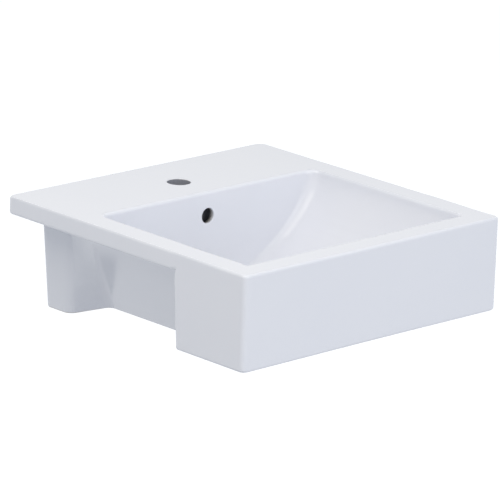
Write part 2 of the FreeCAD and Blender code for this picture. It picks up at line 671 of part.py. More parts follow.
PIECES = [basin, waste, gasket, seal, slip, back_nut, barrel, barrel_cap, lock_nut, spring, rotor, plunger,
          plug_seal, plug_cap]
os.makedirs("parts", exist_ok=True)
for piece in PIECES:
    shape = piece.Shape
    if shape.isNull() or not shape.isValid() or len(shape.Solids) != 1:
        raise RuntimeError(f"{piece.Label} is not one valid solid")
    shape.exportStep(f"parts/{piece.Label}.step")
    box = shape.BoundBox
    print(f"{piece.Label:17s} {shape.Volume / 1000:9.2f} cm3  x {box.XMin:7.1f} {box.XMax:7.1f}"
          f"  y {box.YMin:7.1f} {box.YMax:7.1f}  z {box.ZMin:7.1f} {box.ZMax:7.1f}")
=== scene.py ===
import math

import bmesh
import bpy
import numpy as np
from mathutils import Matrix, Vector


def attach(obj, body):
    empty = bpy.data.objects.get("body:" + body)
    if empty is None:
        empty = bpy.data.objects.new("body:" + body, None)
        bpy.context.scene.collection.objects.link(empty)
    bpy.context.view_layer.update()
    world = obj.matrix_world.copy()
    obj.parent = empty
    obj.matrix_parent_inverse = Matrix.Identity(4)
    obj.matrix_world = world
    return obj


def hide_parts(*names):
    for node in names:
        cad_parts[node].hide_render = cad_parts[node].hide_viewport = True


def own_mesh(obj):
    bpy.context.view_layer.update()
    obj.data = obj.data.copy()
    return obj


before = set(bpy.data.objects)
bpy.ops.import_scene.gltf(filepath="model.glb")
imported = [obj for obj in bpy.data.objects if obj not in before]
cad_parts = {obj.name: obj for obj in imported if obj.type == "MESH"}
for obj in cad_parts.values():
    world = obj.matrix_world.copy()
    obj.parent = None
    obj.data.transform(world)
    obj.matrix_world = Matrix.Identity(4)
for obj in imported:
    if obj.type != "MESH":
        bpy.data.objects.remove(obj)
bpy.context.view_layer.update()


# Camera: the photograph's own, found by fitting the basin's straight edges. It stands far off at
# the front left, a little above, and leans two degrees.
turn, rise, lean = (math.radians(angle) for angle in (43.60, 16.315, 2.03))
rim_centre = Vector((0, -0.2525, 0.027))
distance, shift_left, shift_down = 6.342, 0.0046, 0.0635
focal_pixels, frame_pixels, sensor_mm = 4413, 500, 36
backward = Vector((-math.sin(turn) * math.cos(rise), -math.cos(turn) * math.cos(rise),
                   math.sin(rise)))
level_right = (-backward).cross(Vector((0, 0, 1))).normalized()
level_up = level_right.cross(-backward)
right = math.cos(lean) * level_right + math.sin(lean) * level_up
upward = math.cos(lean) * level_up - math.sin(lean) * level_right
camera = bpy.data.objects.new("camera", bpy.data.cameras.new("camera"))
bpy.context.scene.collection.objects.link(camera)
camera.data.sensor_width = sensor_mm
camera.data.lens = focal_pixels * sensor_mm / frame_pixels
camera.data.clip_end = 50
place = rim_centre + backward * distance - right * shift_left - upward * shift_down
axes = Matrix((right, upward, backward)).transposed().to_4x4()
camera.matrix_world = Matrix.Translation(place) @ axes
bpy.context.scene.camera = camera
bpy.context.scene.view_settings.view_transform = "Standard"


# Room: a plain studio with an even pale light, a large soft lamp above at the left, one in front
# and a weak one low at the left, and a pale floor far below, clear from underneath. The camera sees
# it white, and a little less so close to the basin, where it keeps the basin's soft shadow.
class Wire:
    """A shader value. Arithmetic on it adds Math nodes, so a formula can be written out plainly."""

    def __init__(self, finish, socket):
        self.finish = finish
        self.socket = socket

    def math(self, operation, *values):
        return self.finish.add("ShaderNodeMath", {"operation": operation},
                               dict(enumerate(values)))[0]

    def __add__(self, other):
        return self.math("ADD", self, other)

    def __sub__(self, other):
        return self.math("SUBTRACT", self, other)

    def __mul__(self, other):
        return self.math("MULTIPLY", self, other)

    __radd__ = __add__
    __rmul__ = __mul__


class Shader:
    """The nodes of a material or a world. `add` puts one in and hands back its outputs."""

    def __init__(self, owner):
        owner.use_nodes = True
        self.tree = owner.node_tree

    def add(self, kind, settings, values):
        node = self.tree.nodes.new(kind)
        for label, value in settings.items():
            setattr(node, label, value)
        for label, value in values.items():
            self.join(node.inputs[label], value)
        return [Wire(self, socket) for socket in node.outputs if socket.enabled]

    def join(self, socket, value):
        if isinstance(value, Wire):
            self.tree.links.new(value.socket, socket)
        else:
            socket.default_value = value

    def seen_straight(self):
        """1 for what the camera sees, directly or in metal and glass, 0 for what lights things."""
        path = self.add("ShaderNodeLightPath", {}, {})
        camera_ray, glossy_ray, transmission_ray = path[0], path[3], path[6]
        seen = camera_ray + glossy_ray + transmission_ray
        return seen.math("MINIMUM", seen, 1.0)


class Finish(Shader):
    """A material on one Principled shader, whose uniform values go on its own sockets."""

    def __init__(self, name, **uniform):
        self.material = bpy.data.materials.new(name)
        super().__init__(self.material)
        self.surface = self.tree.nodes["Principled BSDF"]
        for label, value in uniform.items():
            self.surface.inputs[label.replace("_", " ")].default_value = value

    def object_place(self):
        return self.add("ShaderNodeTexCoord", {}, {})[3]

    def stretched(self, place, across, along):
        """Object coordinates, scaled level and upright, for grain that runs round or up a piece."""
        return self.add("ShaderNodeMapping", {"vector_type": "TEXTURE"},
                        {"Vector": place, "Scale": (1 / across, 1 / across, 1 / along)})[0]

    def noise(self, place, scale, detail, roughness=0.5):
        """Clouds of value 0 to 1, about half on the average."""
        return self.add("ShaderNodeTexNoise", {}, {
            "Vector": place, "Scale": scale, "Detail": detail, "Roughness": roughness})[0]

    def blend(self, share, low, high):
        """A colour that goes from one to another with a share of 0 to 1."""
        low, high = ((*end, 1) if isinstance(end, tuple) else end for end in (low, high))
        return self.add("ShaderNodeMix", {"data_type": "RGBA"}, {0: share, 6: low, 7: high})[0]

    def relief(self, height, distance, strength):
        """Turns a height of 0 to 1 into bumps of that many metres."""
        return self.add("ShaderNodeBump", {}, {
            "Height": height, "Distance": distance, "Strength": strength})[0]

    def set(self, **varying):
        for label, value in varying.items():
            self.join(self.surface.inputs[label.replace("_", " ")], value)


world = bpy.data.worlds.new("room")
bpy.context.scene.world = world
room = Shader(world)
light = room.add("ShaderNodeBackground", {}, {"Color": (0.91, 0.955, 1.0, 1), "Strength": 0.59})[0]
white = room.add("ShaderNodeBackground", {}, {"Color": (1, 1, 1, 1), "Strength": 1.0})[0]
seen = room.add("ShaderNodeMixShader", {}, {0: room.seen_straight(), 1: light, 2: white})[0]
room.join(room.tree.nodes["World Output"].inputs["Surface"], seen)

for name, spot, width, power, colour in (
        ("lamp_above", (-1.5, -0.5, 2.1), 2.2, 30, (1, 0.93, 0.84)),
        ("lamp_front", (0.2, -2.9, 1.0), 2.2, 26, (0.98, 0.98, 1)),
        ("lamp_left", (-2.8, -0.3, 0.5), 2.0, 1, (0.8, 0.9, 1))):
    lamp = bpy.data.lights.new(name, "AREA")
    lamp.size = width
    lamp.energy = power
    lamp.color = colour
    holder = bpy.data.objects.new(name, lamp)
    bpy.context.scene.collection.objects.link(holder)
    holder.location = spot
    aim = Vector((0, -0.25, 0)) - Vector(spot)
    holder.rotation_euler = aim.to_track_quat("-Z", "Y").to_euler()

floor_level, floor_reach = -0.85, 15
floor_mesh = bpy.data.meshes.new("floor")
floor_mesh.from_pydata([(x * floor_reach, y * floor_reach, floor_level)
                        for x, y in ((-1, -1), (1, -1), (1, 1), (-1, 1))], [], [(0, 1, 2, 3)])
floor = bpy.data.objects.new("floor", floor_mesh)
bpy.context.scene.collection.objects.link(floor)
floor_paint = bpy.data.materials.new("floor_paint")
paint = Shader(floor_paint)
matt = paint.add("ShaderNodeBsdfDiffuse", {}, {"Color": (0.60, 0.61, 0.64, 1)})[0]
geometry = paint.add("ShaderNodeNewGeometry", {}, {})
floor_point, from_below = geometry[0], geometry[6]
apart = paint.add("ShaderNodeVectorMath", {"operation": "DISTANCE"},
                  {0: floor_point, 1: (0, -0.25, floor_level)})[0]
near_reach, far_reach, near_glow, far_glow = 0.6, 1.1, 0.44, 0.68
glow_here = paint.add("ShaderNodeMapRange", {}, {
    "Value": apart, "From Min": near_reach, "From Max": far_reach,
    "To Min": near_glow, "To Max": far_glow})[0]
glow = paint.add("ShaderNodeEmission", {}, {
    "Color": (1, 1, 1, 1), "Strength": paint.seen_straight() * glow_here})[0]
both = paint.add("ShaderNodeAddShader", {}, {0: matt, 1: glow})[0]
clear = paint.add("ShaderNodeBsdfTransparent", {}, {})[0]
one_sided = paint.add("ShaderNodeMixShader", {}, {0: from_below, 1: both, 2: clear})[0]
paint.join(paint.tree.nodes["Material Output"].inputs["Surface"], one_sided)
floor_mesh.materials.append(floor_paint)


# Glazed vitreous china: the finish of the casting. A white glaze lies over a pale grainy body,
# which shows where the casting isn't glazed: on the wall face, the foot and inside the hollow. The
# walls of the tap hole and of the overflow channel get a dark grey, which is painted shade.
glaze = Finish("white_glaze", IOR=1.52)
where = glaze.object_place()
bare = glaze.add("ShaderNodeAttribute", {"attribute_name": "bare"}, {})[2]
cloud = glaze.noise(where, 9, 2)
pooling = glaze.noise(where, 45, 4)
grain = glaze.noise(where, 1400, 2)
glazed = glaze.blend(cloud, (0.782, 0.797, 0.852), (0.804, 0.816, 0.864))
cast_clay = glaze.blend(glaze.noise(where, 130, 5), (0.66, 0.625, 0.57), (0.76, 0.73, 0.68))
# bare clay, and where the attribute is 2, in the tap hole and the channel, a dark grey that is
# painted shade
clay_and_painted_hole_shade = glaze.blend(bare - 1, cast_clay, (0.27, 0.28, 0.32))
unglazed = bare.math("MINIMUM", bare, 1.0)
glaze.set(Base_Color=glaze.blend(unglazed, glazed, clay_and_painted_hole_shade),
          Roughness=0.13 + 0.06 * pooling + unglazed * (0.55 + 0.1 * grain),
          Normal=glaze.relief(cloud * 0.5 + pooling * 0.12 + unglazed * grain * 0.25, 0.0006, 0.5))


# The casting: deck, rims, bowl, the box front and the walls below the flange in one piece, slip
# cast in plaster and fired. Every edge is soft, because glaze and shrinkage round it.
def rounded(corners, reach, corner_steps, straight_steps):
    """Closed paths through corner points, as one array of (point, path, xyz). A corner is a
    rational curve of degree two that leaves each side at the reach from the corner and is pulled
    towards it with the cosine of half its turn, which makes a true arc where both sides allow."""
    side = corners - np.roll(corners, 1, axis=0)
    length = np.linalg.norm(side, axis=-1, keepdims=True)
    way = side / np.maximum(length, 1e-9)
    leaving = np.roll(way, -1, axis=0)
    reach = np.asarray(reach, float)[..., None]
    room = 0.98 * length / np.maximum(reach + np.roll(reach, 1, axis=0), 1e-9)
    reach = reach * np.minimum(1, np.minimum(room, np.roll(room, -1, axis=0)))
    start, end = corners - way * reach, corners + leaving * reach
    weight = np.sqrt(np.maximum(0.5 + 0.5 * (way * leaving).sum(-1, keepdims=True), 0))
    runs = []
    for index in range(len(corners)):
        share = np.linspace(0, 1, corner_steps[index] + 1)[:, None, None]
        near, pull, far = (1 - share) ** 2, 2 * share * (1 - share) * weight[index], share ** 2
        bend = near * start[index] + pull * corners[index] + far * end[index]
        runs.append(bend / (near + pull + far))
        share = (np.arange(1, straight_steps[index]) / straight_steps[index])[:, None, None]
        runs.append((1 - share) * end[index] + share * start[(index + 1) % len(corners)])
    return np.concatenate(runs)


def dress(mesh, finish, slot, body, *nodes):
    """Makes a mesh into a piece that stands for CAD nodes: merges points that lie together, drops
    loose ones, turns the faces outwards and shades them evenly."""
    shell = bmesh.new()
    shell.from_mesh(mesh)
    loose = [corner for corner in shell.verts if not corner.link_faces]
    bmesh.ops.delete(shell, geom=loose, context="VERTS")
    bmesh.ops.remove_doubles(shell, verts=shell.verts, dist=1e-6)
    bmesh.ops.recalc_face_normals(shell, faces=shell.faces)
    shell.to_mesh(mesh)
    shell.free()
    mesh.polygons.foreach_set("use_smooth", [True] * len(mesh.polygons))
    mesh.materials.append(finish.material)
    piece = bpy.data.objects.new(mesh.name, mesh)
    bpy.context.scene.collection.objects.link(piece)
    piece.modifiers.new("even_shading", "WEIGHTED_NORMAL").weight = 80
    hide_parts(*nodes)
    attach(piece, body)
    return piece


# All sizes of the casting are in millimetres, from the wall and from the worktop's level.
DECK_Z, BOWL_DEPTH, BOWL_POWER, FLANGE_Z, INNER_WALL_Y = 27, 150, 1.72, -6, -12
WASTE_Y, TAP_Y, OVERFLOW_Z = -220, -93, -9.6
BOLT_X, BOLT_Z = 140, -55
# A ring's right half has ten corners: the front one, two where the box front ends, three along the
# side, the rear one and three along the rear. The left half mirrors them. The first two lists give
# the steps of each corner's rounding, and of each side up to the next corner.
HALF_TURNS = (8, 6, 6, 0, 10, 10, 10, 0, 0, 0)
HALF_RUNS = (8, 4, 14, 4, 8, 6, 6, 8, 14)
RING_TURNS = HALF_TURNS + HALF_TURNS[::-1]
RING_RUNS = HALF_RUNS + (16,) + HALF_RUNS[::-1] + (30,)


def ring(corners):
    """A ring of columns from the right half's corners, each (x, y, z) or (x, y, z, reach)."""
    half = np.array([(*corner, 0)[:4] for corner in corners], float)
    other = half[::-1] * (-1, 1, 1, 1)
    whole = np.concatenate([half, other])
    return rounded(whole[:, None, :3], whole[:, None, 3], RING_TURNS, RING_RUNS)[:, 0]


def rear(y, z, lateral=(155, 125, 30)):
    return [(x, y, z) for x in lateral]


def between(low, high, share):
    return (1 - share) * low + share * high


def bowl_ring(depth, half, front, back, front_round, back_round):
    """A rounded rectangle at one depth of the bowl."""
    z = DECK_Z - depth
    # a little more than the rounding, so that the plain corners stay clear of the rounded ones
    spare = 1.05
    start, length = front + spare * front_round, back - front - spare * (front_round + back_round)
    sides = [(half, start + share * length, z) for share in (0, 0.25, 0.7, 0.85, 1)]
    flat = half - spare * back_round
    inner = min(30, 0.45 * flat)
    return ring([(half, front, z, front_round)] + sides + [(half, back, z, back_round)]
                + rear(back, z, (between(inner, flat, 0.72), between(inner, flat, 0.55), inner)))


def bowl_at(depth):
    """The bowl follows a superellipse: the shares of its width and of its depth, each raised to
    BOWL_POWER, add up to 1. Its front corners open out as it goes down, and its rear wall curves
    forward near the floor."""
    sine = (depth / BOWL_DEPTH) ** (BOWL_POWER / 2)
    cosine = math.sqrt(1 - sine ** 2)
    across = cosine ** (2 / BOWL_POWER)
    heel = (1 - cosine) ** 2
    return bowl_ring(depth, 211 * across, WASTE_Y - 247 * across, -158 - 24 * heel,
                     min(6 + 69 * sine, 190 * across), 18 + 16 * heel)


floor_ring = bowl_ring(BOWL_DEPTH, 38, -258, -182, 34, 34)
heading = floor_ring[:, :2] - (0, WASTE_Y)
heading /= np.linalg.norm(heading, axis=1, keepdims=True)


def circle(radius, z):
    """A circle round the waste, with its points where a ring of the bowl has them."""
    return np.column_stack([heading * radius + (0, WASTE_Y), np.full(len(heading), z)])


def edge_plan(heights):
    """The rim's outer edge, with its heights at the front, the box front's end, side and rear."""
    front, block, side, back = heights
    return ring([(250, -505, front, 8), (250, -365, block), (250, -350, side), (250, -160, side),
                 (250, -140, side), (250, -60, side), (250, 0, side, 12)] + rear(0, back))


knee = [bowl_ring(*values) for values in (
    (149.2, 39.0, -260.2, -180.4, 35, 33), (146.8, 42.7, -266.9, -176.2, 38.4, 31.5),
    (143.4, 50.1, -277.7, -171.7, 45, 27.5))]
rim_ring, deck_ring = bowl_at(0), edge_plan((DECK_Z, DECK_Z, DECK_Z, DECK_Z))
under_ring = ring([
    (250, -505, FLANGE_Z, 8), (250, -359, -5, 4.5), (214, -359, 0, 6), (214, -160, 0),
    (214, -148, 0, 6.4), (185.5, -62, 0, 6.4), (185.5, 0, 0, 8)] + rear(0, FLANGE_Z))
body_ring = ring([
    (250, -505, -113, 8), (250, -367, -113, 4.5), (133.1, -367, -109, 6), (133.1, -160, -109),
    (133.1, -87.5, -109, 10), (175.3, -55, -109, 11.4), (175.3, 0, -109, 8)] + rear(0, -109))
stem_ring = ring([
    (40, -377, -113), (85, -377, -113, 4), (130.2, -377, -113, 3), (127.2, -160, -117),
    (127.2, -83.1, -117, 10), (174.6, -54.5, -117, 11.4), (174.6, 0, -117, 8)] + rear(0, -117))
foot_ring = ring([
    (30, -340, -155), (60, -340, -155, 2), (99, -340, -155, 3), (99, -160, -155),
    (99, -62, -155, 10.4), (171, -52, -155, 13.9), (171, 0, -155, 8)] + rear(0, -155))
inner_foot = ring([
    (30, -328, -155), (55, -328, -155, 2), (87, -328, -155, 3), (87, -160, -155),
    (87, -50, -155, 10), (159, -40, -155, 6), (159, INNER_WALL_Y, -155, 3)]
    + rear(INNER_WALL_Y, -155, (150, 125, 30)))
inner_wall = ring([
    (30, -365, -113), (70, -365, -113), (118.2, -365, -113, 3), (118.2, -160, -113),
    (118.2, -73.3, -113, 10), (162.9, -42.7, -113, 8), (162.9, INNER_WALL_Y, -113, 3)]
    + rear(INNER_WALL_Y, -113))
low_hollow, high_hollow = (ring([
    (30, -365, -95), (80, -365, -95), (131, -365, -93, 3), (131, -152, -93),
    (belly, -86 - lift / 2, -70 + lift, 9), (leg, -34, -70 + lift, 9),
    (leg, INNER_WALL_Y, -70 + lift, 3)] + rear(INNER_WALL_Y, -70 + lift))
    for belly, leg, lift in ((150, 166.9, 0), (172.3, 169.8, 30)))
ceiling = ring([
    (30, -350, -103), (75, -350, -102), (118, -340, -101, 3), (126, -150, -97),
    (190, -137, 7, 3), (173.5, -50, 7, 6), (173.5, INNER_WALL_Y, 7, 3)] + rear(INNER_WALL_Y, 7))
behind_bowl = ring([
    (30, -335, -110), (70, -335, -109), (105, -325, -107, 3), (118, -150, -102),
    (186, -145, 7, 3), (172, -147, 7, 3), (158, -147, 7, 3), (130, -147, 7), (105, -147, 7),
    (30, -126, 7)])
under_bowl = ring([
    (28, -310, -122), (60, -310, -121), (85, -300, -119, 5), (98, -170, -112),
    (112, -149, -98, 5), (95, -149, -112, 5), (78, -150, -122, 5), (48, -152, -131),
    (38, -140, -140), (28, -126, -151)])
# the boss round the outlet runs into the channel's casing behind it
boss_top = circle(42, -133)
boss_top[(np.abs(boss_top[:, 0]) <= 28) & (boss_top[:, 1] > WASTE_Y), 2] = -151
# The section, from the outlet's bore round to its start: each ring with the reach of its rounding,
# the steps of the rounding and the steps to the next ring.
RINGS = [
    (circle(23, -151), 1, 4, 2), (circle(23, -143), 0.4, 2, 2), (circle(31, -143), 0.4, 2, 2),
    (circle(31, -134), 0.4, 2, 2), (circle(23, -134), 0.4, 2, 2), (circle(23, -126), 0.8, 4, 2),
    (circle(34, -126), 0.5, 2, 1), (circle(34, -123), 0.8, 4, 1), (floor_ring, 0, 0, 1)]
RINGS += [(step, 0, 0, 1) for step in knee]
RINGS += [(bowl_at(depth), 0, 0, steps) for depth, steps in (
    (139.5, 2), (128, 2), (116, 3), (104, 3), (92, 3), (80, 3), (68, 3))]
RINGS += [(bowl_at(depth), 0, 0, 1) for depth in np.linspace(56.6, 16.6, 11)]
RINGS += [(bowl_at(11), 0, 0, 2)]
RINGS += [
    (rim_ring, 5, 7, 4), (between(rim_ring, deck_ring, 0.2215), 0, 0, 12),
    (between(rim_ring, deck_ring, 0.601), 0, 0, 6), (deck_ring, 4.5, 7, 3),
    (edge_plan((6, 4, 0, 6)), 4.5, 7, 6), (under_ring, 6, 7, 6),
    (between(under_ring, body_ring, 34 / 103), 0, 0, 8),
    (between(under_ring, body_ring, 64 / 103), 0, 0, 7), (body_ring, 4.5, 7, 7),
    (stem_ring, 4, 6, 6),
    (foot_ring, 3, 6, 2), (inner_foot, 3, 6, 5), (inner_wall, 0, 0, 5), (low_hollow, 0, 0, 8),
    (high_hollow, 0, 0, 5), (ceiling, 5, 6, 6), (between(ceiling, behind_bowl, 51 / 114), 0, 0, 12),
    (between(ceiling, behind_bowl, 111 / 114), 0, 0, 1), (behind_bowl, 3, 5, 12),
    (under_bowl, 5, 5, 5),
    (boss_top, 2, 4, 4), (circle(42, -151), 1.5, 5, 4)]
rings, reaches, turns, runs = zip(*RINGS)
reaches = np.repeat(np.array(reaches)[:, None], len(heading), axis=1)
grid = rounded(np.array(rings), reaches, turns, runs)


def starts(turns, runs):
    """Where each corner begins along a path."""
    return np.concatenate([[0], np.cumsum(np.array(turns) + np.array(runs))])


row_of = starts(turns, runs)
column_of = starts(RING_TURNS, RING_RUNS)
numbers = np.arange(grid.shape[0] * grid.shape[1]).reshape(grid.shape[:2])
below, beside = np.roll(numbers, -1, axis=0), np.roll(numbers, -1, axis=1)
quads = np.stack([numbers, below, np.roll(below, -1, axis=1), beside], axis=-1)
kept = np.ones(numbers.shape, bool)
points = grid.reshape(-1, 3)
patches = []


def border(block):
    """The numbers round the edge of a block, in order."""
    return np.concatenate([block[0, :-1], block[:-1, -1], block[-1, :0:-1], block[:0:-1, 0]])


def window(first_row, last_row, first_column, last_column, centre, plane):
    """Opens the grid between two rings of the section and two corners of their plan. Gives the
    opening's vertices in order of angle about a centre, and the angles."""
    rows = slice(row_of[first_row], row_of[last_row])
    columns = slice(column_of[first_column], column_of[last_column])
    kept[rows, columns] = False
    block = numbers[rows.start:rows.stop + 1, columns.start:columns.stop + 1]
    edge = border(block)
    spokes = points[edge][:, plane] - centre
    angles = np.arctan2(spokes[:, 1], spokes[:, 0])
    order = np.argsort(angles)
    return edge[order], angles[order]


def stitch(loops, last=None):
    """Joins new loops of points to each other, and to the vertices given before and after them."""
    global points
    previous = loops[0]
    for loop in loops[1:]:
        current = np.arange(len(points), len(points) + len(loop))
        points = np.concatenate([points, loop])
        patches.append(np.column_stack([previous, current, np.roll(current, -1),
                                        np.roll(previous, -1)]))
        previous = current
    if last is not None:
        patches.append(np.column_stack([previous, last, np.roll(last, -1), np.roll(previous, -1)]))
    return previous


def circles(angles, centre, plane, profile):
    """Circles about an axis, each given as (radius, height along it), with points at the angles."""
    loops = []
    for radius, height in profile:
        loop = np.full((len(angles), 3), float(height))
        loop[:, plane[0]] = centre[0] + radius * np.cos(angles)
        loop[:, plane[1]] = centre[1] + radius * np.sin(angles)
        loops.append(loop)
    return loops


def lip(radius, height, size, way):
    """Profile of a hole's rounded edge: a quarter circle from the surface into the bore."""
    return [(radius + size * (1 - math.sin(bend)), height + way * size * (1 - math.cos(bend)))
            for bend in np.linspace(0, math.pi / 2, 5)]


LEVEL, UPRIGHT = [0, 1], [0, 2]
# tap hole, through the deck
outside, angles = window(32, 33, 9, 10, (0, TAP_Y), LEVEL)
inside, _ = window(47, 48, 9, 10, (0, TAP_Y), LEVEL)
profile = [(23, DECK_Z)] + lip(17.5, DECK_Z, 1.2, -1) + lip(17.5, 7, 1, 1)[::-1] + [(23, 7)]
stitch([outside] + circles(angles, (0, TAP_Y), LEVEL, profile), inside)
# wall bolts, through the rear wall
for first, last, x in ((7, 8, BOLT_X), (11, 12, -BOLT_X)):
    outside, angles = window(37, 38, first, last, (x, BOLT_Z), UPRIGHT)
    inside, _ = window(44, 45, first, last, (x, BOLT_Z), UPRIGHT)
    profile = [(10, 0)] + lip(7, 0, 0.8, -1) + lip(7, INNER_WALL_Y, 0.8, 1)[::-1]
    profile += [(10, INNER_WALL_Y)]
    stitch([outside] + circles(angles, (x, BOLT_Z), UPRIGHT, profile), inside)
# overflow: a round hole into a channel that runs down behind the bowl
hole_radius, bowl_wall_y, channel_front_y, channel_back_y = 11.4, -158, -148, -134
channel_half, channel_above, channel_below = 20, 14.6, 133.4
outside, angles = window(19, 29, 9, 10, (0, OVERFLOW_Z), UPRIGHT)
profile = [(15, bowl_wall_y)] + lip(hole_radius, bowl_wall_y, 1.2, 1)
loops = circles(angles, (0, OVERFLOW_Z), UPRIGHT, profile + [(hole_radius, channel_front_y)])
sideways, upwards = (np.maximum(np.abs(part), 1e-6) for part in (np.cos(angles), np.sin(angles)))
stretch = np.minimum(channel_half / sideways, 1e3)
climb = np.where(np.sin(angles) > 0, channel_above, channel_below) / upwards
reach = np.minimum(stretch, climb)
for y in (channel_front_y, channel_back_y):
    loop = np.full((len(angles), 3), float(y))
    loop[:, 0], loop[:, 2] = reach * np.cos(angles), reach * np.sin(angles) + OVERFLOW_Z
    loops.append(loop)
back = stitch([outside] + loops)
centre = len(points)
points = np.concatenate([points, [(0, channel_back_y, -60)]])
fan = np.column_stack([back, np.full(len(back), centre), np.roll(back, -1)])

# where the glaze ends: 0 is glazed, 1 is bare and 2 is bare with painted shade, on the wall of the
# tap hole or the channel
foot_row, bore_row = row_of[41] + 2, row_of[52] + 4
bare_and_hole_shade_share = np.zeros(len(points))
bare_and_hole_shade_share[numbers[foot_row:bore_row].ravel()] = 1
on_wall = (grid[:, :, 1] > -0.05) & (np.arange(grid.shape[0]) < foot_row)[:, None]
bare_and_hole_shade_share[numbers[on_wall]] = 1
in_tap_hole = (np.abs(points[:, 1] - TAP_Y) < 19) & (np.abs(points[:, 2] - 16.5) < 9.6)
in_channel = (np.abs(points[:, 1] + 145) < 11.6) & (np.abs(points[:, 0]) < 21)
by_bolts = np.abs(np.abs(points[:, 0]) - BOLT_X) < 12
bare_and_hole_shade_share[numbers.size:][by_bolts[numbers.size:]] = 1
# painted shade: the walls of the tap hole and of the overflow channel are marked 2, which the glaze
# makes dark grey
bare_and_hole_shade_share[numbers.size:][(in_tap_hole | in_channel)[numbers.size:]] = 2
casting_mesh = bpy.data.meshes.new("basin_casting")
faces = np.concatenate([quads[kept]] + patches).tolist() + fan.tolist()
casting_mesh.from_pydata((points * 0.001).tolist(), [], faces)
bare_and_hole_shade_data = casting_mesh.attributes.new("bare", "FLOAT", "POINT").data
bare_and_hole_shade_data.foreach_set("value", bare_and_hole_shade_share.astype(np.float32))
dress(casting_mesh, glaze, "glaze", "basin", "ceramic_basin")


# Waste and plug: chromed brass, turned and polished. The tube goes down through the outlet and is
# clamped by a nut from below, so it is threaded below its slots. The bridge across it carries the
# cartridge.
def give(finish, *nodes):
    """Gives CAD pieces, whose shapes are right, their material."""
    for node in nodes:
        for material_slot in bpy.data.objects[node].material_slots:
            material_slot.material = finish.material


def tool_marks(finish, scale):
    """Fine rings that a lathe tool leaves round the waste's axis, on faces as well as on sides."""
    x, y, z = finish.add("ShaderNodeSeparateXYZ", {}, {"Vector": finish.object_place()})
    forward = y + 0.22
    radius = x.math("SQRT", x * x + forward * forward)
    rings = finish.add("ShaderNodeCombineXYZ", {}, {"X": radius, "Y": 0.0, "Z": z})[0]
    return finish.noise(rings, scale, 2, 0.6)


chrome = Finish("polished_chrome", Metallic=1.0, IOR=2.5)
smears = chrome.noise(chrome.object_place(), 60, 4)
marks = tool_marks(chrome, 1500)
chrome.set(Base_Color=chrome.blend(smears, (0.56, 0.57, 0.585), (0.63, 0.64, 0.65)),
           Roughness=0.05 + 0.07 * smears + 0.03 * marks,
           Normal=chrome.relief(marks, 0.00001, 0.6))
give(chrome, "plug_cap", "plunger")


def closed_shell(rows, closed=True):
    """Faces between neighbouring rows and neighbouring columns of a grid of points. The last
    column joins the first, and so does the last row where the shell is closed."""
    count = np.arange(rows.shape[0] * rows.shape[1]).reshape(rows.shape[:2])
    above = np.roll(count, -1, axis=0)
    faces = np.stack([count, np.roll(count, -1, axis=1), np.roll(above, -1, axis=1), above],
                     axis=-1)
    return faces if closed else faces[:-1]


def new_piece(name, vertices, faces, finish, slot, body, *nodes):
    """A piece that stands for CAD nodes, from points in millimetres."""
    mesh = bpy.data.meshes.new(name)
    mesh.from_pydata((vertices * 0.001).tolist(), [], faces)
    return dress(mesh, finish, slot, body, *nodes)


# Heights are from the underside of the waste's flange, which lies at SEAT_Z.
SEAT_Z, BORE, CREST, PITCH, THREAD_DEPTH = -124.5, 18, 20.95, 2.309, 1.40
SLOT_HALF, SLOT_FOOT, SLOT_TOP, GROOVE = 6, -18.5, -9.5, -46.95
bends = np.linspace(0, math.pi / 2, 5)
tail = [(18.5, -75), (20.0, -75), (20.15, -74.8), (20.4, -74.3)]
thread_rows = [(CREST, height) for height in np.linspace(-74, -22, 272)]
middle_rows = [(CREST, height) for height in (
    -21.5, -20, SLOT_FOOT, -16.25, -14, -11.75, SLOT_TOP, -8, -4, -0.6, -0.15)]
flange_rows = [(21.3, 0), (26, 0), (31, 0), (31.35, 0.1), (31.5, 0.4), (31.5, 1.2)]
flange_rows += [(30 + 1.5 * math.cos(bend), 2 + 1.5 * math.sin(bend)) for bend in bends]
flange_rows += [(25, 3.5)] + [(20 - 2 * math.sin(bend), 1.5 + 2 * math.cos(bend)) for bend in bends]
bore_rows = [(BORE, height) for height in (
    -4, -8, SLOT_TOP, -11.75, -14, -16.25, SLOT_FOOT, -20, -30, -45, -60, -73.5, -74.4)]
bore_rows += [(18.15, -74.85)]
profile = np.array(tail + thread_rows + middle_rows + flange_rows + bore_rows)
# a quarter of the tube, from the middle of one slot (0) past its edge (1) to the next one (3, 4)
slot_share = np.concatenate([np.linspace(0, 1, 5), np.linspace(1, 2, 8)[1:-1],
                             np.linspace(2, 3, 8)[:-1], np.linspace(3, 4, 5)[:-1]])
radius, height = profile[:, 0, None], profile[:, 1, None]
edge = np.arcsin(SLOT_HALF / radius)
share = np.concatenate([slot_share] * 4)[None]
quarter = np.repeat(np.arange(4), len(slot_share))[None]
past_slot = edge + (share - 1) / 2 * (math.pi / 2 - 2 * edge)
angle = np.where(share <= 1, share * edge,
                 np.where(share >= 3, math.pi / 2 - (4 - share) * edge, past_slot))
angle = angle + quarter * math.pi / 2
on_outside, from_groove = radius > 20.9, np.abs(height - GROOVE)
fade = np.clip((height + 74) / 1.5, 0, 1) * np.clip((-22 - height) / 2, 0, 1) * on_outside
fade = fade * (1 - np.clip(1.5 - from_groove, 0, 1))
wave = np.cos(2 * math.pi * height / PITCH - angle)
groove = 0.9 * (from_groove < 0.75) * on_outside
outside = radius - THREAD_DEPTH / 2 * fade * (1 - wave) - groove
tube = np.stack([outside * np.cos(angle), outside * np.sin(angle) + WASTE_Y,
                 height + SEAT_Z + 0 * angle], axis=-1)
tube_faces = closed_shell(tube)
levels = profile[:, 1]
low_out, high_out = (int(np.argmax((levels == level) & (profile[:, 0] > 20)))
                     for level in (SLOT_FOOT, SLOT_TOP))
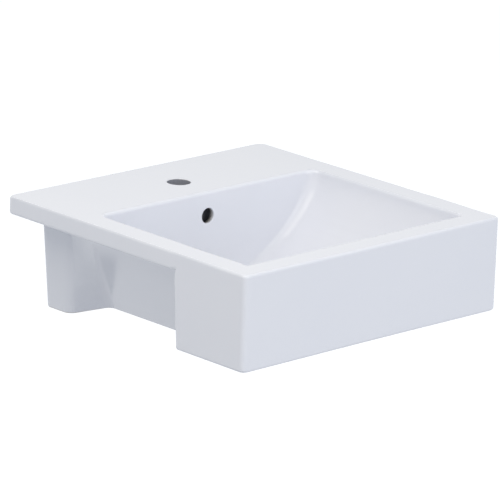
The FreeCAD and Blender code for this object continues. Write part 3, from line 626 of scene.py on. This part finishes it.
high_in, low_in = (int(np.argmax((levels == level) & (profile[:, 0] == BORE)))
                   for level in (SLOT_TOP, SLOT_FOOT))
whole = np.ones(tube_faces.shape[:2], bool)
columns = len(slot_share)
number_of = np.arange(tube.shape[0] * tube.shape[1]).reshape(tube.shape[:2])
sides = []
for corner in range(4):
    span = np.arange(corner * columns - 4, corner * columns + 5) % (4 * columns)
    whole[low_out:high_out, span[:-1]] = False
    whole[high_in:low_in, span[:-1]] = False
    outer_block = number_of[low_out:high_out + 1][:, span]
    inner_block = number_of[high_in:low_in + 1][::-1][:, span]
    outer, inner = border(outer_block), border(inner_block)
    sides.append(np.column_stack([outer, np.roll(outer, -1), np.roll(inner, -1), inner]))
# the bridge: a hub with a hole for the cartridge, and four bars that reach into the tube's wall
hub, hub_hole, bar_half, bar_end = 8.0, 4.2, 3, 18.3
bar_turn = np.radians(np.concatenate([
    np.linspace(0, 9.31, 4), np.linspace(9.31, 22.02, 6)[1:], np.linspace(22.02, 67.98, 9)[1:],
    np.linspace(67.98, 80.69, 6)[1:], np.linspace(80.69, 90, 4)[1:-1]]))
bar_turn = (bar_turn + np.arange(4)[:, None] * math.pi / 2).ravel()
along, over = (np.maximum(np.abs(part), 1e-6) for part in (np.cos(bar_turn), np.sin(bar_turn)))
reach = np.maximum.reduce([
    np.full(len(bar_turn), hub), np.minimum(bar_end / along, bar_half / over),
    np.minimum(bar_half / along, bar_end / over)])
bridge = []
# each row: 1 on the outline or 0 at the hole, how far the hole is opened, how far the outline is
# drawn in, height
for outline, opened, inset, level in (
        (0, 0.3, 0, -39), (1, 0, 0.4, -39), (1, 0, 0.1, -39.1), (1, 0, 0, -39.4),
        (1, 0, 0, -44.6), (1, 0, 0.1, -44.9), (1, 0, 0.4, -45), (0, 0.3, 0, -45),
        (0, 0, 0, -44.8), (0, 0, 0, -39.2)):
    across = hub_hole + (reach - hub_hole) * outline + opened - inset
    bridge.append(np.column_stack([across * np.cos(bar_turn), across * np.sin(bar_turn) + WASTE_Y,
                                   np.full(len(bar_turn), level + SEAT_Z)]))
bridge = np.array(bridge)
waste_faces = tube_faces[whole].tolist() + np.concatenate(sides).tolist()
waste_faces += (closed_shell(bridge).reshape(-1, 4) + tube.shape[0] * tube.shape[1]).tolist()
waste_points = np.concatenate([tube.reshape(-1, 3), bridge.reshape(-1, 3)])
new_piece("threaded_waste", waste_points, waste_faces,
          chrome, "chromed_brass", "basin", "waste_body")


# Nuts and cartridge: bare brass turned from bar, duller and darker in patches, with the lathe's
# rings on every face. The back nut clamps the waste to the basin, and the lock nut holds the
# cartridge's barrel to the bridge.
brass = Finish("turned_brass", Metallic=1.0, IOR=1.8)
tarnish = brass.noise(brass.object_place(), 110, 5, 0.62)
marks = tool_marks(brass, 2600)
brass.set(Base_Color=brass.blend(tarnish, (0.78, 0.60, 0.30), (0.60, 0.43, 0.20)),
          Roughness=0.20 + 0.16 * tarnish + 0.10 * marks,
          Normal=brass.relief(marks + 0.3 * tarnish, 0.00003, 0.7))
give(brass, "back_nut", "cartridge_barrel", "barrel_cap", "lock_nut")


# Seals: moulded black rubber, matt, with a grey bloom and a fine grain. One lies under the waste's
# flange, a tapered one under the outlet's boss and one under the plug.
rubber = Finish("black_rubber", IOR=1.5)
place = rubber.object_place()
bloom = rubber.noise(place, 140, 5, 0.6)
grain = rubber.noise(place, 3200, 2)
rubber.set(Base_Color=rubber.blend(bloom, (0.018, 0.018, 0.019), (0.050, 0.050, 0.053)),
           Roughness=0.56 + 0.22 * bloom + 0.06 * grain,
           Normal=rubber.relief(grain * 0.7 + bloom * 0.3, 0.00005, 0.7))
give(rubber, "flange_gasket", "tapered_seal", "plug_seal")


# Slip washer: a ring stamped from white polyethylene sheet, so that the nut turns without dragging
# the rubber. Waxy, slightly see-through at its edge, with flow clouds.
poly = Finish("white_polyethylene", IOR=1.51, Subsurface_Weight=0.15, Subsurface_Scale=0.002)
place = poly.object_place()
clouds = poly.noise(place, 90, 4)
scuffs = poly.noise(poly.stretched(place, 2, 0.4), 900, 4, 0.7)
poly.set(Base_Color=poly.blend(clouds, (0.76, 0.76, 0.74), (0.82, 0.82, 0.81)),
         Roughness=0.38 + 0.14 * clouds + 0.08 * scuffs,
         Normal=poly.relief(scuffs, 0.00003, 0.7))
give(poly, "slip_washer")


# Rotor of the click: a ring of moulded acetal, off-white and greasy smooth. It sits in the barrel
# between the plunger and the spring, and turns with each press.
acetal = Finish("moulded_acetal", IOR=1.48, Subsurface_Weight=0.1, Subsurface_Scale=0.001)
place = acetal.object_place()
clouds = acetal.noise(place, 350, 3)
acetal.set(Base_Color=acetal.blend(clouds, (0.74, 0.72, 0.64), (0.80, 0.78, 0.72)),
           Roughness=0.30 + 0.14 * clouds,
           Normal=acetal.relief(acetal.noise(place, 2600, 2), 0.00002, 0.6))
give(acetal, "click_rotor")


# Spring of the click: cold drawn steel wire, wound, with the die's fine lines along the wire. It
# stands in the barrel and pushes the rotor up, and is drawn at one length.
steel = Finish("drawn_spring_steel", Metallic=1.0, IOR=2.6)
place = steel.object_place()
film = steel.noise(place, 300, 4)
lines = steel.noise(steel.stretched(place, 0.3, 6), 2400, 2)
steel.set(Base_Color=steel.blend(film, (0.50, 0.50, 0.51), (0.60, 0.60, 0.62)),
          Roughness=0.22 + 0.12 * film + 0.08 * lines,
          Normal=steel.relief(lines, 0.00002, 0.6))
coil_radius, wire_radius, coil_length, coil_foot = 4.2, 0.45, 18, -161.05
share = np.linspace(0, 1, 361)[:, None]
turn_by = 10 * math.pi * share
climb = coil_length * (share - 0.8 * np.sin(2 * math.pi * share) / (2 * math.pi))
line = np.hstack([coil_radius * np.cos(turn_by), coil_radius * np.sin(turn_by) + WASTE_Y,
                  climb + coil_foot])
along = np.gradient(line, axis=0)
along /= np.linalg.norm(along, axis=1, keepdims=True)
outward = np.hstack([np.cos(turn_by), np.sin(turn_by), 0 * share])
upright = np.cross(along, outward)
round_wire = np.linspace(0, 2 * math.pi, 15)[:-1, None]
# both ends of the wire are closed by a flat face
size_here = [0.0, 0.36, wire_radius] + [wire_radius] * 355 + [wire_radius, 0.36, 0.0]
stops = [0, 0, 0] + list(range(3, 358)) + [360, 360, 360]
coil = np.array([
    line[stop] + size * (np.cos(round_wire) * outward[stop] + np.sin(round_wire) * upright[stop])
    for stop, size in zip(stops, size_here)])
coil_faces = closed_shell(coil, False).reshape(-1, 4).tolist()
spring = new_piece("wound_spring", coil.reshape(-1, 3), coil_faces,
                   steel, "spring_steel", "basin", "click_spring")
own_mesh(spring)
